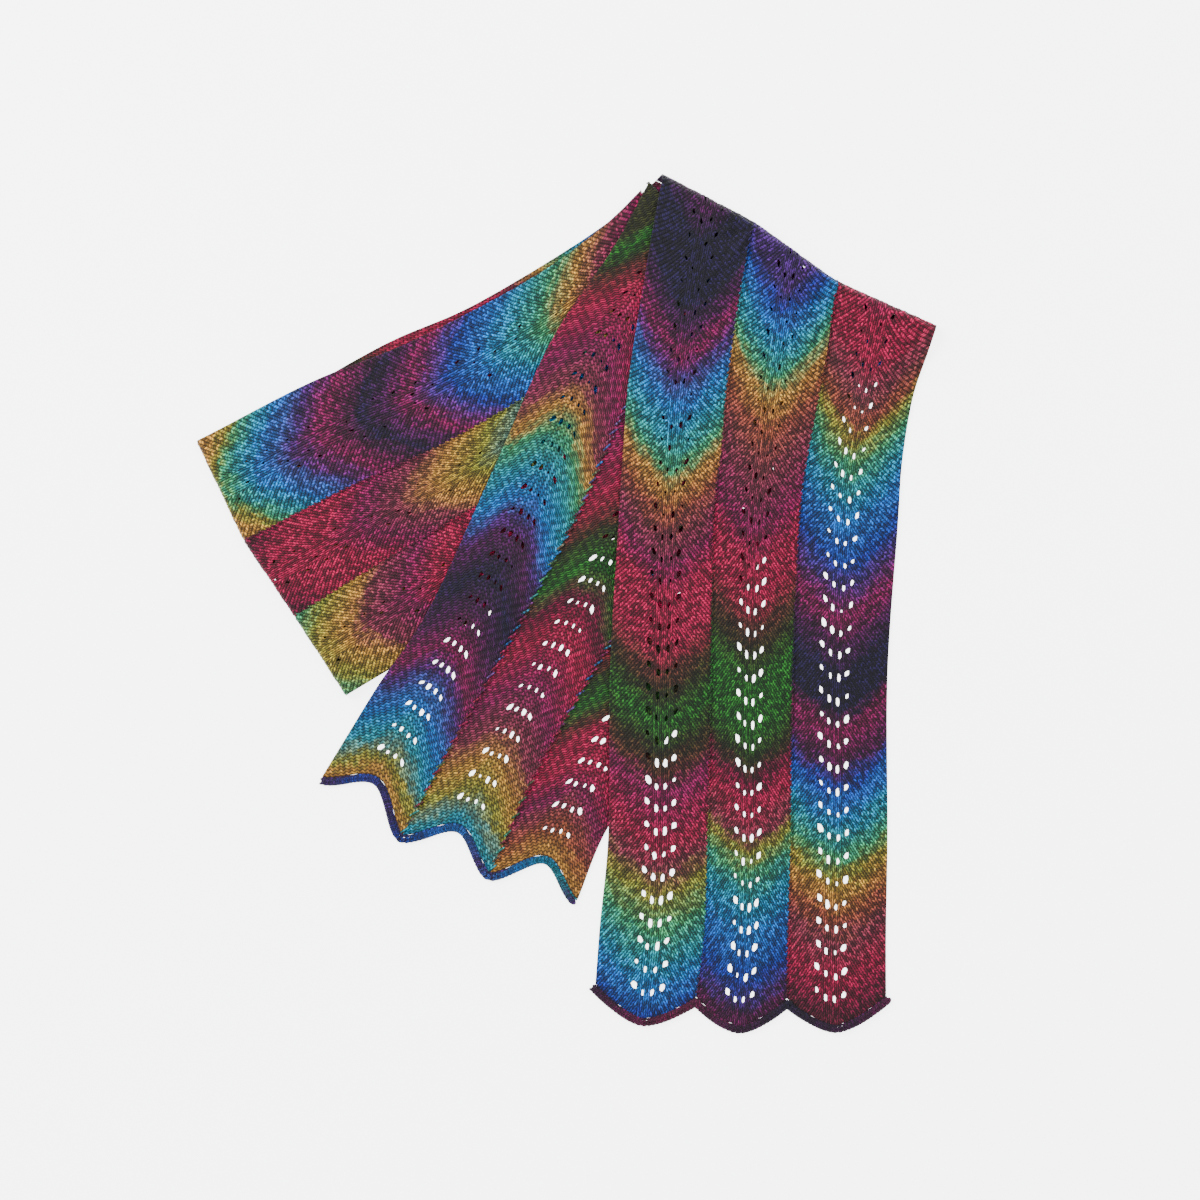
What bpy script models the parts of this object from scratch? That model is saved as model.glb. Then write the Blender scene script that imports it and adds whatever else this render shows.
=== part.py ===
"""Knitted lace scarf laid flat in four folded limbs, modelled at true size.

Three narrow lace strips are sewn side by side. The front limb runs from its
hem up to fold 1, the under limb from fold 1 out to fold 2, the side limb back
to fold 3 and the back limb down to the second hem. Each limb lies on the ones
before it and drops to the floor beyond their edges. Metres, Z up, floor z = 0.
"""
import math

import bpy
import numpy as np

MM = 0.001
WALL = 2.0                # thickness of the knitted cloth
GAP = 0.3                 # between pieces that are sewn or lie on each other
REPEAT = 16.2             # length of one lace repeat along a strip
EYE_LENGTH = 6.4          # round eyelet, along the strip
EYE_HALF = 0.033          # half the eyelet's width, as a share of the strip
EYE_OFFSET = 0.134        # eyelet from the pattern's centre, as a share
EDGING_WIDTH = 6.0        # crocheted band round each hem
EDGING_HEIGHT = 2.6
FOLD_STEPS = 5            # facets round each fold
FOLD1_RADIUS = (5.6, 4.7)  # left corner and right corner of fold 1
FOLD2_RADIUS = (3.4, 3.4)
FOLD3_RADIUS = (3.0, 3.0)
FOLD3_BASE = WALL + GAP   # fold 3 stands on the under limb
SETTLE = 26.0             # length over which the cloth sinks from a fold
CELL = 2.0                # spacing of the height grid used for the drape
SOFTEN = 6                # cells by which a step in the cloth is spread

# Sections of each limb in millimetres: name, left edge, seam 1, seam 2,
# right edge, and how far the lace wave sags in the middle of each strip.
FRONT = (
    ("hem", (20, -261), (89, -270), (151, -271), (219, -269), 19),
    ("a1", (23, -221), (95, -223), (152, -224), (219, -224), 20),
    ("a2", (29, -155), (97, -155), (154, -155), (220, -157), 22),
    ("a3", (30, -46), (99, -46), (155, -46), (220, -49), 26),
    ("a4", (36, 59), (101, 59), (160, 57), (227, 52), 32),
    ("a5", (39, 106), (106, 103), (165, 99), (230, 96), 35),
    ("a6", (43, 155), (110, 149), (173, 142), (237, 139), 38),
    ("a7", (55, 231), (120, 218), (182, 197), (247, 170), 41),
    ("fold1", (66, 293), (128, 261), (185, 220), (253, 190), 41),
)
UNDER = (
    ("fold1", (66, 293), (128, 261), (185, 220), (253, 190), 0),
    ("d1", (21, 255), (75, 228), (130, 185), (192, 147), 0),
    ("d2", (-61, 205), (-12, 173), (37, 128), (91, 82), 0),
    ("d3", (-124, 177), (-82, 129), (-38, 82), (10, 31), 0),
    ("d4", (-204, 132), (-169, 75), (-131, 25), (-91, -28), 0),
    ("fold2", (-253, 110), (-221, 42), (-186, -10), (-151, -64), 0),
)
SIDE = (
    ("fold2", (-253, 110), (-221, 42), (-186, -10), (-151, -64), 0),
    ("c1", (-176, 150), (-148, 79), (-112, 36), (-76, -17), 0),
    ("c2", (-105, 179), (-73, 114), (-37, 80), (-4, 25), 0),
    ("c3", (-25, 221), (10, 165), (45, 128), (78, 73), 0),
    ("c4", (25, 257), (64, 206), (100, 161), (140, 110), 0),
    ("fold3", (57, 288), (107, 237), (150, 190), (197, 142), 0),
)
BACK = (
    ("hem", (-167, -119), (-112, -159), (-52, -185), (8, -203), -20),
    ("b5", (-130, -59), (-82, -104), (-23, -121), (28, -155), -26),
    ("b4", (-94, -5), (-45, -38), (8, -65), (68, -94), -30),
    ("b3", (-51, 88), (5, 55), (62, 25), (119, 2), -34),
    ("b2", (-10, 179), (44, 140), (100, 96), (153, 67), -38),
    ("b1", (32, 242), (85, 202), (136, 163), (184, 119), -40),
    ("fold3", (57, 288), (107, 237), (150, 190), (197, 142), -40),
)

# Pattern centre of each strip as a share of its width, and plain rows that
# are left uncut before the fold.
FRONT_LACE = ((0.52, 3), (0.48, 3), (0.44, 3))
BACK_LACE = ((0.50, 4), (0.50, 4), (0.50, 4))

COLOURS = {
    "front_strip_left": (0.30, 0.02, 0.10),
    "front_strip_middle": (0.10, 0.22, 0.10),
    "front_strip_right": (0.14, 0.04, 0.20),
    "back_strip_left": (0.03, 0.16, 0.36),
    "back_strip_middle": (0.32, 0.03, 0.09),
    "back_strip_right": (0.20, 0.12, 0.05),
    "side_strip_upper": (0.07, 0.06, 0.28),
    "side_strip_middle": (0.30, 0.02, 0.06),
    "side_strip_lower": (0.30, 0.28, 0.08),
    "under_limb": (0.35, 0.03, 0.08),
    "front_hem_edging": (0.12, 0.02, 0.09),
    "back_hem_edging": (0.02, 0.09, 0.30),
}


def spline(points, samples=10):
    """Return a dense smooth curve through the points and its station values."""
    pts = np.asarray(points, float)
    first = 2 * pts[0] - pts[1]
    last = 2 * pts[-1] - pts[-2]
    ext = np.vstack([first, pts, last])
    out, where = [], []
    for k in range(len(pts) - 1):
        a, b, c, d = ext[k:k + 4]
        for j in range(samples):
            t = j / samples
            out.append(0.5 * (2 * b + (c - a) * t + (2 * a - 5 * b + 4 * c - d) * t * t
                              + (3 * b - a - 3 * c + d) * t ** 3))
            where.append(k + t)
    out.append(pts[-1])
    where.append(len(pts) - 1.0)
    return np.array(out), np.array(where)


class Limb:
    """One limb of the scarf in plan: columns run along it, u goes across."""

    def __init__(self, table, lobed=False):
        self.lobed = lobed
        self.lines = np.array([row[1:5] for row in table], float)
        self.bows = np.array([row[5] for row in table], float)

    def column(self, u):
        """Curve of the column at u (0 to 3), its lengths and sag values."""
        strip = min(2, int(u))
        share = u - strip
        pts = self.lines[:, strip] * (1 - share) + self.lines[:, strip + 1] * share
        curve, where = spline(pts)
        steps = np.linalg.norm(np.diff(curve, axis=0), axis=1)
        length = np.concatenate([[0.0], np.cumsum(steps)])
        bow = np.interp(where, np.arange(len(self.bows)), self.bows)
        return curve, length, bow

    def at(self, u, s):
        """Plan point at distance s from the first section."""
        curve, length, _ = self.column(u)
        if s < 0:
            way = curve[1] - curve[0]
            return curve[0] + way / np.linalg.norm(way) * s
        return np.array([np.interp(s, length, curve[:, k]) for k in (0, 1)])


def wave(share, lobed=False):
    """Soft V of the lace rows across one strip, 0 at the seams, 1 between."""
    if lobed:
        return max(0.0, math.sin(math.pi * share)) ** 1.4
    return 1.0 - abs(2.0 * share - 1.0) ** 1.5


def edge_points(line, u):
    """Points of a fold's outer line, straight in each strip, eased at seams."""
    reach = min(0.1, u, 3 - u)
    where = np.arange(len(line))
    spots = [[np.interp(u + k * reach, where, line[:, i]) for i in (0, 1)] for k in (-1, 0, 1)]
    return np.mean(spots, axis=0)


def smooth_step(x):
    """Ease from 0 to 1."""
    x = min(1.0, max(0.0, x))
    return x * x * (3 - 2 * x)


class Fold:
    """A rounded turn of the cloth along one end of a limb."""

    def __init__(self, limb, end, radii, base):
        self.limb = limb
        self.end = end
        self.radii = radii
        self.base = base
        self.edge = limb.lines[end]

    def frame(self, u):
        """Edge point, outward normal, tangent, slant and radius at u."""
        point = edge_points(self.edge, u)
        step = 0.2
        ahead = edge_points(self.edge, min(3, u + step))
        behind = edge_points(self.edge, max(0, u - step))
        tangent = (ahead - behind) / np.linalg.norm(ahead - behind)
        normal = np.array([-tangent[1], tangent[0]])
        curve, _, _ = self.limb.column(u)
        if self.end == -1:
            way = curve[-1] - curve[-8]
        else:
            way = curve[0] - curve[7]
        if way @ normal < 0:
            normal = -normal
        slant = (way @ tangent) / (way @ normal)
        radius = self.radii[0] + (self.radii[1] - self.radii[0]) * u / 3
        return point, normal, tangent, slant, radius

    def ring(self, u):
        """Outer and inner points round the turn, from the top to the end."""
        point, normal, tangent, slant, radius = self.frame(u)
        middle = radius - WALL / 2
        start = point - normal * radius - tangent * slant * middle * math.pi / 2
        pairs = []
        for k in range(FOLD_STEPS + 1):
            angle = math.pi * k / FOLD_STEPS
            along = start + tangent * slant * middle * angle
            height = self.base + radius
            outer = along + normal * radius * math.sin(angle)
            inner = along + normal * (radius - WALL) * math.sin(angle)
            pairs.append((
                (outer[0], outer[1], height + radius * math.cos(angle)),
                (inner[0], inner[1], height + (radius - WALL) * math.cos(angle)),
            ))
        return pairs

    def meeting(self, u, space):
        """Plan point where the next limb starts, clear of this turn."""
        _, normal, _, _, _ = self.frame(u)
        last = np.array(self.ring(u)[-1][0][:2])
        return last - normal * space


class Ground:
    """Height grid of everything laid so far."""

    def __init__(self):
        self.low = np.array([-300.0, -340.0])
        self.shape = (300, 340)
        self.top = np.zeros(self.shape)

    def cells(self, corners):
        """Grid cells under one triangle with their weights."""
        lo = np.floor((corners.min(axis=0) - self.low) / CELL).astype(int)
        hi = np.ceil((corners.max(axis=0) - self.low) / CELL).astype(int)
        ii, jj = np.meshgrid(np.arange(lo[0], hi[0] + 1), np.arange(lo[1], hi[1] + 1), indexing="ij")
        ii = ii.ravel()
        jj = jj.ravel()
        px = self.low[0] + ii * CELL
        py = self.low[1] + jj * CELL
        a, b, c = corners
        area = (b[0] - a[0]) * (c[1] - a[1]) - (c[0] - a[0]) * (b[1] - a[1])
        if abs(area) < 1e-9:
            return None
        wb = ((px - a[0]) * (c[1] - a[1]) - (c[0] - a[0]) * (py - a[1])) / area
        wc = ((b[0] - a[0]) * (py - a[1]) - (px - a[0]) * (b[1] - a[1])) / area
        wa = 1 - wb - wc
        inside = (wa > -0.02) & (wb > -0.02) & (wc > -0.02)
        if not inside.any():
            return None
        return ii[inside], jj[inside], np.stack([wa, wb, wc], axis=1)[inside]

    def add(self, points, faces):
        """Raise the grid to the top of a laid piece."""
        for face in faces:
            corners = points[list(face)]
            found = self.cells(corners[:, :2])
            if found is None:
                continue
            ii, jj, weights = found
            np.maximum.at(self.top, (ii, jj), weights @ corners[:, 2])

    def needed(self):
        """Height that the next layer must clear, floor left at zero."""
        top = np.where(self.top > 0, self.top + GAP, 0.0)
        return spread(top, 1)

    def soft(self):
        """The needed height spread outward and smoothed, as cloth bends."""
        return blur(spread(self.needed(), SOFTEN), SOFTEN)


def spread(grid, cells):
    """Largest value in a round neighbourhood."""
    out = grid.copy()
    for i in range(-cells, cells + 1):
        for j in range(-cells, cells + 1):
            if i * i + j * j <= cells * cells + 0.5:
                out = np.maximum(out, np.roll(np.roll(grid, i, 0), j, 1))
    return out


def blur(grid, cells):
    """Mean over a small square, twice, in both directions."""
    for _ in range(2):
        for axis in (0, 1):
            grid = sum(np.roll(grid, k, axis) for k in range(-cells // 2, cells // 2 + 1)) \
                / len(range(-cells // 2, cells // 2 + 1))
    return grid


def drape(ground, plan, faces, floor_z, fixed):
    """Heights of a cloth's underside laid on the ground grid.

    floor_z is the least height wanted at each point and fixed marks points
    whose height may not change.
    """
    soft = ground.soft()
    needed = ground.needed()
    index = (plan - ground.low) / CELL
    low = np.floor(index).astype(int)
    part = index - low
    heights = np.zeros(len(plan))
    for di in (0, 1):
        for dj in (0, 1):
            weight = (part[:, 0] if di else 1 - part[:, 0]) * (part[:, 1] if dj else 1 - part[:, 1])
            heights += weight * soft[low[:, 0] + di, low[:, 1] + dj]
    heights[heights < 0.02] = 0.0
    heights = np.maximum(heights, floor_z)
    heights[fixed] = floor_z[fixed]
    under = [(list(face), ground.cells(plan[list(face)])) for face in faces]
    for _ in range(12):
        worst = 0.0
        for face, found in under:
            if found is None:
                continue
            ii, jj, weights = found
            short = (needed[ii, jj] - weights @ heights[face]).max()
            if short > 0.005:
                worst = max(worst, short)
                free = [v for v in face if not fixed[v]]
                heights[free] += short
        if worst < 0.01:
            break
    return heights


def closed_mesh(name, outer, inner, faces, colour):
    """Build a closed wall from paired outer and inner points."""
    count = len(outer)
    verts = np.vstack([outer, inner]) * MM
    tris = [tuple(face) for face in faces]
    edges = {}
    for face in faces:
        for a, b in zip(face, face[1:] + face[:1]):
            edges[(a, b)] = True
    tris += [tuple(v + count for v in reversed(face)) for face in faces]
    for a, b in edges:
        if (b, a) not in edges:
            tris.append((b, a, a + count))
            tris.append((b, a + count, b + count))
    mesh = bpy.data.meshes.new(name)
    mesh.from_pydata([tuple(v) for v in verts], [], tris)
    mesh.validate()
    mesh.update()
    obj = bpy.data.objects.new(name, mesh)
    bpy.context.scene.collection.objects.link(obj)
    material = bpy.data.materials.new("yarn_" + name)
    material.use_nodes = True
    shader = material.node_tree.nodes["Principled BSDF"]
    shader.inputs["Base Color"].default_value = (*colour, 1.0)
    shader.inputs["Roughness"].default_value = 0.85
    mesh.materials.append(material)
    return obj


def quad(a, b, c, d):
    """Two triangles of a quad given counter-clockwise from above."""
    return [[a, b, c], [a, c, d]]


def lace_strip(limb, fold, ground, strip, lace):
    """Grid of one strip of a hemmed limb: rows follow the lace wave.

    Returns outer points, inner points, faces and the first row's vertices.
    """
    centre, plain = lace
    a, b = centre - EYE_OFFSET, centre + EYE_OFFSET
    shares = [0.0, a / 2, a - EYE_HALF, a + EYE_HALF, b - EYE_HALF, b + EYE_HALF, (1 + b) / 2, 1.0]
    eye_cells = (2, 4)
    plan, least, rows_of = [], [], []
    inset = GAP / 2 / 66.0
    ends = []
    for share in shares:
        u = strip + min(1 - inset, max(inset, share))
        ring = fold.ring(u)
        _, normal, _, _, radius = fold.frame(u)
        curve, length, bow = limb.column(u)
        start = np.array(ring[0][0][:2])
        total = length[-1] - radius * 1.05
        column = []
        row = 0
        while True:
            offset = REPEAT * (row // 2) + (EYE_LENGTH if row % 2 else 0.0)
            w = offset
            s = w
            for _ in range(4):
                sag = np.interp(s, length, bow)
                s = w - sag * wave(share, limb.lobed)
            if s > total - 3.0:
                break
            point = limb.at(u, s)
            rise = smooth_step(1 - (total - s) / SETTLE)
            column.append((row, len(plan)))
            plan.append(point)
            least.append((ring[0][1][2]) * rise)
            row += 1
        column.append((None, len(plan)))
        plan.append(start)
        least.append(ring[0][1][2])
        rows_of.append(column)
        ends.append(len(plan) - 1)
    faces = []
    last_eye = min(len(c) for c in rows_of) - 2
    eyes = 0
    for k in range(len(shares) - 1):
        left, right = rows_of[k], rows_of[k + 1]
        i = j = 0
        while i < len(left) - 1 or j < len(right) - 1:
            full = i < len(left) - 2 and j < len(right) - 2
            if full and i == j:
                is_eye = k in eye_cells and i % 2 == 0 and 1 < i < last_eye - 2 * plain
                if is_eye:
                    eyes += 1
                else:
                    faces += quad(left[i][1], right[j][1], right[j + 1][1], left[i + 1][1])
                i += 1
                j += 1
                continue
            can_left = i < len(left) - 1
            can_right = j < len(right) - 1
            if can_left and (not can_right or i <= j):
                faces.append([left[i][1], right[j][1], left[i + 1][1]])
                i += 1
            else:
                faces.append([left[i][1], right[j][1], right[j + 1][1]])
                j += 1
    plan = np.array(plan)
    least = np.array(least)
    fixed = np.zeros(len(plan), bool)
    fixed[ends] = True
    z = drape(ground, plan, faces, least, fixed)
    outer = [(p[0], p[1], h + WALL) for p, h in zip(plan, z)]
    inner = [(p[0], p[1], h) for p, h in zip(plan, z)]
    before = list(ends)
    for step in range(1, FOLD_STEPS + 1):
        now = []
        for share in shares:
            u = strip + min(1 - inset, max(inset, share))
            top, low = fold.ring(u)[step]
            now.append(len(outer))
            outer.append(top)
            inner.append(low)
        for k in range(len(shares) - 1):
            faces += quad(before[k], before[k + 1], now[k + 1], now[k])
        before = now
    first = [column[0][1] for column in rows_of]
    return np.array(outer), np.array(inner), faces, first, eyes


def oriented(outer, faces):
    """Turn every face so that the flat part faces up."""
    total = 0.0
    for face in faces[:40]:
        a, b, c = outer[face[0]], outer[face[1]], outer[face[2]]
        total += (b[0] - a[0]) * (c[1] - a[1]) - (c[0] - a[0]) * (b[1] - a[1])
    if total < 0:
        return [face[::-1] for face in faces]
    return faces


def plain_grid(limb, ends, columns, rows):
    """Plan points of a limb without lace between two given end rows."""
    plan = []
    for r in range(rows + 1):
        t = r / rows
        for k, u in enumerate(columns):
            curve, length, _ = limb.column(u)
            s0 = np.argmin(np.linalg.norm(curve - ends[0][k], axis=1))
            s1 = np.argmin(np.linalg.norm(curve - ends[1][k], axis=1))
            s = length[s0] + (length[s1] - length[s0]) * t
            point = np.array([np.interp(s, length, curve[:, i]) for i in (0, 1)])
            lead = (ends[0][k] - curve[s0]) * (1 - t) + (ends[1][k] - curve[s1]) * t
            plan.append(point + lead)
    return np.array(plan)


def grid_faces(columns, rows):
    """Faces of a plain grid of points laid row by row."""
    faces = []
    for r in range(rows):
        for k in range(columns - 1):
            a = r * columns + k
            faces += quad(a, a + 1, a + columns + 1, a + columns)
    return faces


def edging(name, line, out_sign, colour):
    """Crocheted band along a hem line, five-sided in section."""
    pts = np.array(line)[:, :2]
    base = np.array(line)[:, 2]
    count = len(pts)
    normals = []
    for k in range(count):
        way = pts[min(count - 1, k + 1)] - pts[max(0, k - 1)]
        way = way / np.linalg.norm(way)
        normals.append(np.array([way[1], -way[0]]) * out_sign)
    section = (
        (GAP, 0.0), (EDGING_WIDTH - 0.8, 0.0), (EDGING_WIDTH, EDGING_HEIGHT * 0.5),
        (EDGING_WIDTH - 1.2, EDGING_HEIGHT), (GAP + 0.9, EDGING_HEIGHT), (GAP, EDGING_HEIGHT * 0.6),
    )
    verts, tris = [], []
    for k in range(count):
        for out, up in section:
            p = pts[k] + normals[k] * out
            verts.append((p[0] * MM, p[1] * MM, (base[k] + up) * MM))
    size = len(section)
    for k in range(count - 1):
        for j in range(size):
            a = k * size + j
            b = k * size + (j + 1) % size
            tris += [(a, b, b + size), (a, b + size, a + size)]
    tris += [(0, j + 1, j) for j in range(1, size - 1)]
    last = (count - 1) * size
    tris += [(last, last + j, last + j + 1) for j in range(1, size - 1)]
    if out_sign > 0:
        tris = [face[::-1] for face in tris]
    mesh = bpy.data.meshes.new(name)
    mesh.from_pydata(verts, [], tris)
    mesh.update()
    obj = bpy.data.objects.new(name, mesh)
    bpy.context.scene.collection.objects.link(obj)
    material = bpy.data.materials.new("yarn_" + name)
    material.use_nodes = True
    shader = material.node_tree.nodes["Principled BSDF"]
    shader.inputs["Base Color"].default_value = (*colour, 1.0)
    shader.inputs["Roughness"].default_value = 0.85
    mesh.materials.append(material)
    return obj


def main():
    """Lay the limbs from the floor up and build every piece."""
    for obj in list(bpy.data.objects):
        bpy.data.objects.remove(obj)
    front, under, side, back = Limb(FRONT), Limb(UNDER), Limb(SIDE), Limb(BACK, True)
    fold1 = Fold(front, -1, FOLD1_RADIUS, 0.0)
    fold2 = Fold(side, 0, FOLD2_RADIUS, 0.0)
    fold3 = Fold(back, -1, FOLD3_RADIUS, FOLD3_BASE)
    ground = Ground()
    built = []

    columns = [strip + share for strip in range(3) for share in (0.0, 0.17, 0.35, 0.5, 0.65, 0.83)]
    columns.append(3.0)
    starts = [fold1.meeting(u, GAP) for u in columns]
    stops = [fold2.meeting(u, GAP) for u in columns]
    rows = 14
    plan = plain_grid(under, (starts, stops), columns, rows)
    faces = grid_faces(len(columns), rows)
    inner = np.column_stack([plan, np.zeros(len(plan))])
    outer = inner + (0, 0, WALL)
    faces = oriented(outer, faces)
    built.append(closed_mesh("under_limb", outer, inner, faces, COLOURS["under_limb"]))
    ground.add(outer, faces)

    names = ("side_strip_upper", "side_strip_middle", "side_strip_lower")
    laid = []
    for strip, name in enumerate(names):
        inset = GAP / 2 / 66.0
        shares = (0.0, 0.17, 0.35, 0.5, 0.65, 0.83, 1.0)
        us = [strip + min(1 - inset, max(inset, share)) for share in shares]
        starts = [np.array(fold2.ring(u)[0][0][:2]) for u in us]
        stops = [fold3.meeting(u, GAP) for u in us]
        rows = 16
        plan = plain_grid(side, (starts, stops), us, rows)
        faces = grid_faces(len(us), rows)
        count = len(us)
        least = np.zeros(len(plan))
        fixed = np.zeros(len(plan), bool)
        for k, u in enumerate(us):
            peak = fold2.ring(u)[0][1][2]
            for r in range(rows + 1):
                away = np.linalg.norm(plan[r * count + k] - plan[k])
                least[r * count + k] = FOLD3_BASE + (peak - FOLD3_BASE) * smooth_step(1 - away / SETTLE)
            fixed[k] = fixed[rows * count + k] = True
        z = drape(ground, plan, faces, least, fixed)
        outer = [(p[0], p[1], h + WALL) for p, h in zip(plan, z)]
        inner = [(p[0], p[1], h) for p, h in zip(plan, z)]
        before = list(range(count))
        for step in range(1, FOLD_STEPS + 1):
            now = []
            for u in us:
                top, low = fold2.ring(u)[step]
                now.append(len(outer))
                outer.append(top)
                inner.append(low)
            for k in range(count - 1):
                faces += quad(now[k], now[k + 1], before[k + 1], before[k])
            before = now
        outer, inner = np.array(outer), np.array(inner)
        faces = oriented(outer, faces)
        built.append(closed_mesh(name, outer, inner, faces, COLOURS[name]))
        laid.append((outer, faces))
    for outer, faces in laid:
        ground.add(outer, faces)

    eye_total = 0
    for limb, fold, lace, prefix, sign in (
        (back, fold3, BACK_LACE, "back", 1), (front, fold1, FRONT_LACE, "front", 1),
    ):
        laid, hem = [], []
        for strip, side_name in enumerate(("left", "middle", "right")):
            name = prefix + "_strip_" + side_name
            outer, inner, faces, first, eyes = lace_strip(limb, fold, ground, strip, lace[strip])
            faces = oriented(outer, faces)
            built.append(closed_mesh(name, outer, inner, faces, COLOURS[name]))
            laid.append((outer, faces))
            eye_total += eyes
            line = [inner[v] for v in first]
            if hem:
                seam = (hem[-1] + line[0]) / 2
                hem = hem[:-1] + [seam] + line[1:]
            else:
                hem = line
        for outer, faces in laid:
            ground.add(outer, faces)
        built.append(edging(prefix + "_hem_edging", hem, sign, COLOURS[prefix + "_hem_edging"]))

    low = np.min([np.min([v.co for v in obj.data.vertices], axis=0) for obj in built], axis=0)
    high = np.max([np.max([v.co for v in obj.data.vertices], axis=0) for obj in built], axis=0)
    centre = (low + high) / 2
    for obj in built:
        for vert in obj.data.vertices:
            vert.co.x -= centre[0]
            vert.co.y -= centre[1]
        obj.data.update()
    print("eyelets", eye_total, "centre", centre, "size", high - low)


main()
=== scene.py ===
"""Visual model of the knitted lace scarf, laid flat in four folded limbs.

Every strip is a lattice of stitches that follows the lace wave, lies on its
solid and turns round the same folds. Tables are in millimetres, from above.
"""
import logging
import math
from dataclasses import dataclass, field
from enum import Enum

import bpy
import numpy as np
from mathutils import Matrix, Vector
from mathutils.bvhtree import BVHTree


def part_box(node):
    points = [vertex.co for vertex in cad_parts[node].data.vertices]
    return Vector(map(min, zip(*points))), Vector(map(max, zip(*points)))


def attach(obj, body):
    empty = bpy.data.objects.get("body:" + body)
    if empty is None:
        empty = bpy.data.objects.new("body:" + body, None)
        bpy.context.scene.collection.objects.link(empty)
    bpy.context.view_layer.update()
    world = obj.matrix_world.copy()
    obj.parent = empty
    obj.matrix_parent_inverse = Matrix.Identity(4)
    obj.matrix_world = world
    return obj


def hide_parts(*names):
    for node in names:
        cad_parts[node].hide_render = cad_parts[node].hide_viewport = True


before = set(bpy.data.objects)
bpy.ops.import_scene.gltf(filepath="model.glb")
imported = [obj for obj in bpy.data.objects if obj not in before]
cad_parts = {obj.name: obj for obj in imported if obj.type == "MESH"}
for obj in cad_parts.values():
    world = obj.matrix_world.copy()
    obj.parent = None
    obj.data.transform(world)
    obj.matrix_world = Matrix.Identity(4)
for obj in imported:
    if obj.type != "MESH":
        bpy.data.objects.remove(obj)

log = logging.getLogger("scarf")

MM = 0.001
SHIFT = np.array([-0.049, 0.787])   # the tables' zero, moved to the object's
WALL = 2.0
GAP = 0.3
REPEAT = 16.2             # lace repeat along a strip
ROW = REPEAT / 6          # height of a row of stitches
WALES = 23                # stitches across one strip
STRIP_WIDTH = 66.7
EYE_OFFSET = 0.134        # round eyelets, as a share of the strip
SLIT_OFFSET = 0.046       # long inner eyelets
FOLD_BASE = WALL + GAP
CORE = 2.1                # upright wales on each side of the pattern's centre
DRIFT = 0.42              # wales that the stitches lean over a row

FRONT = (
    ((20, -261), (89, -270), (151, -271), (219, -269), 19),
    ((23, -221), (95, -223), (152, -224), (219, -224), 20),
    ((29, -155), (97, -155), (154, -155), (220, -157), 22),
    ((30, -46), (99, -46), (155, -46), (220, -49), 26),
    ((36, 59), (101, 59), (160, 57), (227, 52), 32),
    ((39, 106), (106, 103), (165, 99), (230, 96), 35),
    ((43, 155), (110, 149), (173, 142), (237, 139), 38),
    ((55, 231), (120, 218), (182, 197), (247, 170), 41),
    ((66, 293), (128, 261), (185, 220), (253, 190), 41),
)
UNDER = (
    ((66, 293), (128, 261), (185, 220), (253, 190), 0),
    ((21, 255), (75, 228), (130, 185), (192, 147), 0),
    ((-61, 205), (-12, 173), (37, 128), (91, 82), 0),
    ((-124, 177), (-82, 129), (-38, 82), (10, 31), 0),
    ((-204, 132), (-169, 75), (-131, 25), (-91, -28), 0),
    ((-253, 110), (-221, 42), (-186, -10), (-151, -64), 0),
)
SIDE = (
    ((-253, 110), (-221, 42), (-186, -10), (-151, -64), 30),
    ((-176, 150), (-148, 79), (-112, 36), (-76, -17), 32),
    ((-105, 179), (-73, 114), (-37, 80), (-4, 25), 33),
    ((-25, 221), (10, 165), (45, 128), (78, 73), 33),
    ((25, 257), (64, 206), (100, 161), (140, 110), 32),
    ((57, 288), (107, 237), (150, 190), (197, 142), 30),
)
BACK = (
    ((-167, -119), (-112, -159), (-52, -185), (8, -203), -20),
    ((-130, -59), (-82, -104), (-23, -121), (28, -155), -26),
    ((-94, -5), (-45, -38), (8, -65), (68, -94), -30),
    ((-51, 88), (5, 55), (62, 25), (119, 2), -34),
    ((-10, 179), (44, 140), (100, 96), (153, 67), -38),
    ((32, 242), (85, 202), (136, 163), (184, 119), -40),
    ((57, 288), (107, 237), (150, 190), (197, 142), -40),
)

# Yarn colours in linear light.
YARN = {
    "navy": (0.035, 0.022, 0.085),
    "violet": (0.125, 0.040, 0.23),
    "purple": (0.13, 0.014, 0.12),
    "magenta": (0.27, 0.010, 0.13),
    "rose": (0.28, 0.07, 0.11),
    "crimson": (0.40, 0.006, 0.105),
    "maroon": (0.19, 0.010, 0.07),
    "brown": (0.15, 0.06, 0.045),
    "copper": (0.34, 0.12, 0.07),
    "gold": (0.50, 0.30, 0.075),
    "olive": (0.32, 0.32, 0.06),
    "moss": (0.07, 0.075, 0.025),
    "green": (0.04, 0.20, 0.04),
    "seafoam": (0.09, 0.38, 0.20),
    "teal": (0.004, 0.33, 0.38),
    "blue": (0.004, 0.21, 0.52),
    "cobalt": (0.025, 0.07, 0.36),
}


DEPTH = 0.56              # how dark the dye is against the table


def dyed(colour: str) -> tuple:
    """Colour of a named yarn with its alpha."""
    return (*(DEPTH * part ** 1.5 for part in YARN[colour]), 1.0)


class Face(Enum):
    """Side of the knitting that shows."""

    KNIT = "knit"
    PURL = "purl"


@dataclass(frozen=True)
class YarnFinish:
    """Colours of a yarn along one strip: distance in mm and colour name."""

    name: str
    stops: tuple
    face: Face


@dataclass(frozen=True)
class FoldShape:
    """Round turn at one end of a limb: radii at its two corners, and base."""

    radii: tuple
    base: float


@dataclass(frozen=True)
class StripPlan:
    """One sewn strip of one limb."""

    node: str
    limb: str
    index: int
    finish: YarnFinish
    centre: float
    eye_size: float
    drift: float


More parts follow.
